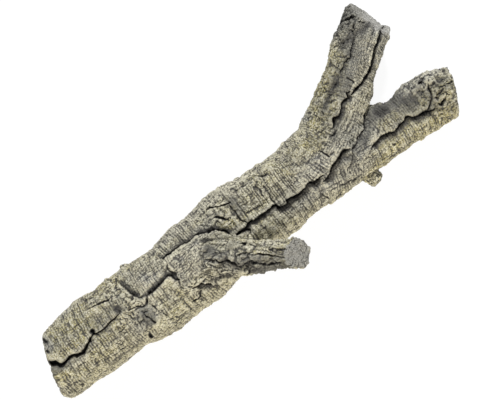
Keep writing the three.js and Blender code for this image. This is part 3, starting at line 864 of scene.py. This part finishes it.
def touching(face):
    return [other for edge in face.edges for other in edge.link_faces if other is not face]


def on_border():
    """The faces that touch another piece."""
    return [face for face in whole.faces if any(other[number] != face[number] for other in touching(face))]


def commonest(numbers):
    return max(sorted(set(numbers)), key=numbers.count)


# A face that juts out into another piece joins it, and so does a scrap cut off from its own piece, which is
# told by having fewer faces than this.
SCRAP = 400
for _ in range(6):
    for face in on_border():
        others = [other[number] for other in touching(face) if other[number] != face[number]]
        if len(others) > 1:
            face[number] = commonest(others)
checked = set()
for start in on_border():
    if start in checked:
        continue
    scrap, waiting, outside = {start}, [start], []
    while waiting and len(scrap) < SCRAP:
        for other in touching(waiting.pop()):
            if other[number] != start[number]:
                outside.append(other[number])
            elif other not in scrap:
                scrap.add(other)
                waiting.append(other)
    checked |= scrap
    if len(scrap) < SCRAP and not waiting:
        for face in scrap:
            face[number] = commonest(outside)


def piece(name):
    """One piece of the branch, cut out of the whole skin and closed where it meets its neighbours."""
    own = whole.copy()
    others = [face for face in own.faces if face[own.faces.layers.int["piece"]] != names.index(name)]
    bmesh.ops.delete(own, geom=others, context="FACES")
    joint = [edge for edge in own.edges if edge.is_boundary]
    filled = bmesh.ops.holes_fill(own, edges=joint, sides=0)["faces"]
    bmesh.ops.poke(own, faces=filled)
    mesh = bpy.data.meshes.new(name)
    own.to_mesh(mesh)
    thing = bpy.data.objects.new("bark_" + name, mesh)
    scene.collection.objects.link(thing)
    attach(thing, "root")
    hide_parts(name)
    return thing


# ---- Main stem -------------------------------------------------------------------------------------------
# The thick lower length of the branch, from its sawn butt to the fork, in dry grey-beige bark.
BEIGE, COOL, PALE = (0.465, 0.437, 0.33, 1), (0.375, 0.375, 0.345, 1), (0.69, 0.655, 0.515, 1)
YELLOW, BROWN, BLACK = (0.53, 0.47, 0.215, 1), (0.108, 0.103, 0.094, 1), (0.011, 0.011, 0.011, 1)
ASHEN, SAWN, DUSKY = (0.50, 0.49, 0.455, 1), (0.38, 0.37, 0.33, 1), (0.13, 0.129, 0.118, 1)
STONE = (0.435, 0.43, 0.395, 1)


def blend(tree, amount, first, second):
    return node(tree, "ShaderNodeMix", {0: amount, 6: first, 7: second}, data_type="RGBA").outputs[2]


def fade(tree, value, low, high, most=1.0):
    ends = {"Value": value, "From Min": low, "From Max": high, "To Max": most}
    return node(tree, "ShaderNodeMapRange", ends, interpolation_type="SMOOTHSTEP").outputs[0]


def maths(tree, operation, *inputs, kind="ShaderNodeMath"):
    return node(tree, kind, dict(enumerate(inputs)), operation=operation).outputs[0]


def stretched(tree, vector, rates):
    return maths(tree, "MULTIPLY", vector, rates, kind="ShaderNodeVectorMath")


def total(tree, *shares):
    """Adds up (value, weight) pairs."""
    sum_so_far = 0.0
    for value, weight in shares:
        sum_so_far = maths(tree, "MULTIPLY_ADD", value, weight, sum_so_far)
    return sum_so_far


def mottle(tree, vector, size, detail=3):
    """Noise whose spots are about size across, in metres, one number or one for each axis of the vector."""
    rates = (1 / size,) * 3 if isinstance(size, float) else tuple(1 / s for s in size)
    inputs = {"Vector": stretched(tree, vector, rates), "Scale": 1, "Detail": detail}
    return node(tree, "ShaderNodeTexNoise", inputs).outputs["Fac"]


def painted(tree, name, output="Fac"):
    return node(tree, "ShaderNodeAttribute", attribute_name=name).outputs[output]


RING_RATE = math.tau / (2.6 * MM)
CRACK_RATES = (220, 310, 310)


def bark_material(name, cool_share):
    material = bpy.data.materials.new(name)
    material.use_nodes = True
    tree = material.node_tree
    shader = tree.nodes["Principled BSDF"]
    place = node(tree, "ShaderNodeTexCoord").outputs["Object"]
    along = painted(tree, "grain", "Vector")
    blotch, patch = mottle(tree, place, 0.03), mottle(tree, place, 0.016)
    grit, speck = mottle(tree, place, 0.0045), mottle(tree, place, 0.0022)
    streak = mottle(tree, along, (0.0022, 0.014, 0.014), 2)
    fibre = mottle(tree, along, (0.018, 0.0022, 0.0022), 2)
    cells = {"Vector": stretched(tree, along, CRACK_RATES), "Scale": 1}
    edge = node(tree, "ShaderNodeTexVoronoi", cells, feature="DISTANCE_TO_EDGE").outputs[0]
    cracks = fade(tree, edge, 0.13, 0.02)
    lines = node(tree, "ShaderNodeMix", {0: painted(tree, "fibrous"), 2: streak, 3: fibre}).outputs[0]
    # The level mixes the high mark's painted highlight and shade with grain streaks, specks and fine cracks.
    level = total(tree, (painted(tree, "high"), 1.5), (lines, 2.8), (speck, 3.8), (grit, 0.8), (cracks, -1.1))
    colour = blend(tree, fade(tree, blotch, 0.62 - cool_share, 0.78 - cool_share), BEIGE, COOL)
    warmth = painted(tree, "warm")
    yellowed = maths(tree, "MULTIPLY", warmth, fade(tree, patch, 0.15, 0.7))
    colour = blend(tree, yellowed, colour, YELLOW)
    colour = blend(tree, fade(tree, warmth, 0, -1, 0.7), colour, STONE)
    # Painted light: the bark is made paler where the dusky mark is below zero, along the upper and lower
    # flanks and beside the stub, with some paler tone.
    colour = blend(tree, fade(tree, painted(tree, "dusky"), 0, -0.5, 0.5), colour, PALE)
    # Painted highlight where the level is high, and painted shade where it is low.
    colour = blend(tree, fade(tree, level, 3.3, 4.15, 0.85), colour, PALE)
    colour = blend(tree, fade(tree, level, 3.35, 2.3, 0.95), colour, BROWN)
    # Painted shade where the dusky mark is above zero, together with darker tone.
    colour = blend(tree, fade(tree, painted(tree, "dusky"), -0.1, 0.7, 0.8), colour, DUSKY)
    outwards = stretched(tree, along, (0, 1, 1))
    radius = node(tree, "ShaderNodeVectorMath", {0: outwards}, operation="LENGTH").outputs["Value"]
    rings = maths(tree, "SINE", total(tree, (radius, RING_RATE), (grit, 5.0)))
    scores = mottle(tree, place, (0.0022, 0.0022, 0.022), 2)
    wood = total(tree, (rings, 0.10), (scores, 0.9), (speck, 1.2), (grit, 0.5))
    end_grain = blend(tree, fade(tree, wood, 0.95, 1.35), BROWN, SAWN)
    colour = blend(tree, painted(tree, "sawn"), colour, end_grain)
    colour = blend(tree, fade(tree, painted(tree, "worn"), 0.2, 1, 0.8), colour, ASHEN)
    # Painted shade from the dark mark: cracks, grooves and hollows turn brown, and the deepest black.
    shade = total(tree, (painted(tree, "dark"), 1.0), (speck, 0.4))
    colour = blend(tree, fade(tree, shade, 0.2, 0.75, 0.9), colour, BROWN)
    colour = blend(tree, fade(tree, shade, 0.65, 1.05), colour, BLACK)
    tree.links.new(colour, shader.inputs["Base Color"])
    height = total(tree, (streak, 0.7), (fibre, 0.5), (speck, 0.9), (grit, 0.8), (cracks, -0.4))
    bump = node(tree, "ShaderNodeBump", {"Height": height, "Distance": 0.003, "Strength": 1.0})
    tree.links.new(bump.outputs[0], shader.inputs["Normal"])
    shader.inputs["Roughness"].default_value = 0.92
    shader.inputs["Specular IOR Level"].default_value = 0.2
    return material


bark = bark_material("weathered bark", 0.12)
main_stem = piece("main_stem")
main_stem.data.materials.append(bark)


# ---- The two limbs ---------------------------------------------------------------------------------------
# They carry the stem's bark on beyond the fork, each to its own sawn end.
for name in ("left_limb", "right_limb"):
    limb = piece(name)
    limb.data.materials.append(bark)


# ---- The side stub ---------------------------------------------------------------------------------------
# A side branch sawn off short, with darker gnarled bark, painted shade deep in its crevices, and a rough grey
# sawn face.
side_stub = piece("side_stub")
side_stub.data.materials.append(bark_material("stub bark", 0.18))


# ---- The spur --------------------------------------------------------------------------------------------
# The stump of a twig that broke off and healed over.
spur = piece("spur")
spur.data.materials.append(bark)


# ---- Clearing up -----------------------------------------------------------------------------------------
# The skin that the pieces were cut from goes, and the sizes are kept.
bpy.data.objects.remove(skin)
low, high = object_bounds()
